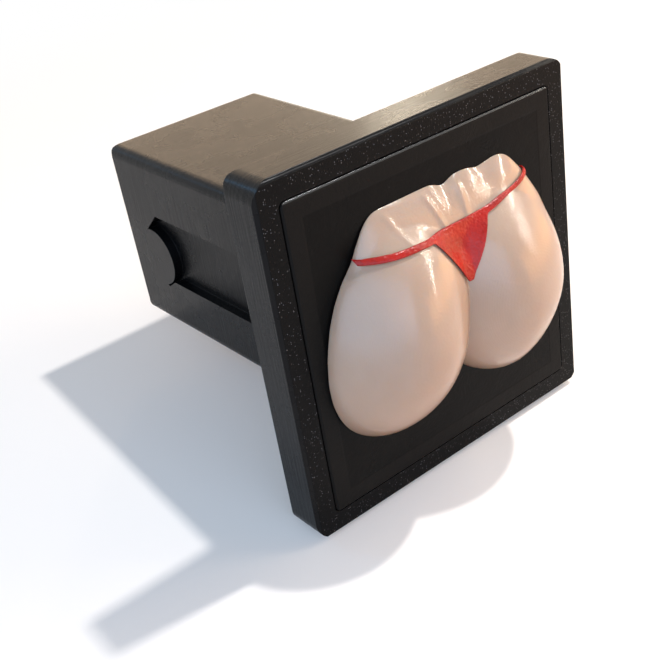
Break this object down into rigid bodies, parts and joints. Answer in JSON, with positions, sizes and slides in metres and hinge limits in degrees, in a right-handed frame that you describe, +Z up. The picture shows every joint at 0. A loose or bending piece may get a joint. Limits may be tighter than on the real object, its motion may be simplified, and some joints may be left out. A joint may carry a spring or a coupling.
{
  "type": "hitch receiver cover",
  "caption": "Hollow square plug with a square flange and a face panel carrying a sculpted relief; it closes the open mouth of a towing receiver tube.",
  "frame": {"origin": "centre of the square plug, on the back face of the flange that seats against the receiver's mouth", "axes": "+X right as seen from the front, +Y along the plug into the receiver, +Z up; the relief faces -Y"},
  "size_m": [0.088, 0.1161, 0.088],
  "materials": {
    "plug_plastic": "printed black plastic, fine layer lines, textured front rim",
    "panel_plastic": "satin black printed plastic",
    "bone_plastic": "glossy bone-white printed plastic with fine layer terraces",
    "red_plastic": "glossy red printed plastic with small sparkles"
  },
  "bodies": {
    "root": {"receiver_plug": "plug_plastic", "face_panel": "panel_plastic", "figure_relief": "bone_plastic", "thong": "red_plastic"}
  },
  "joints": []
}
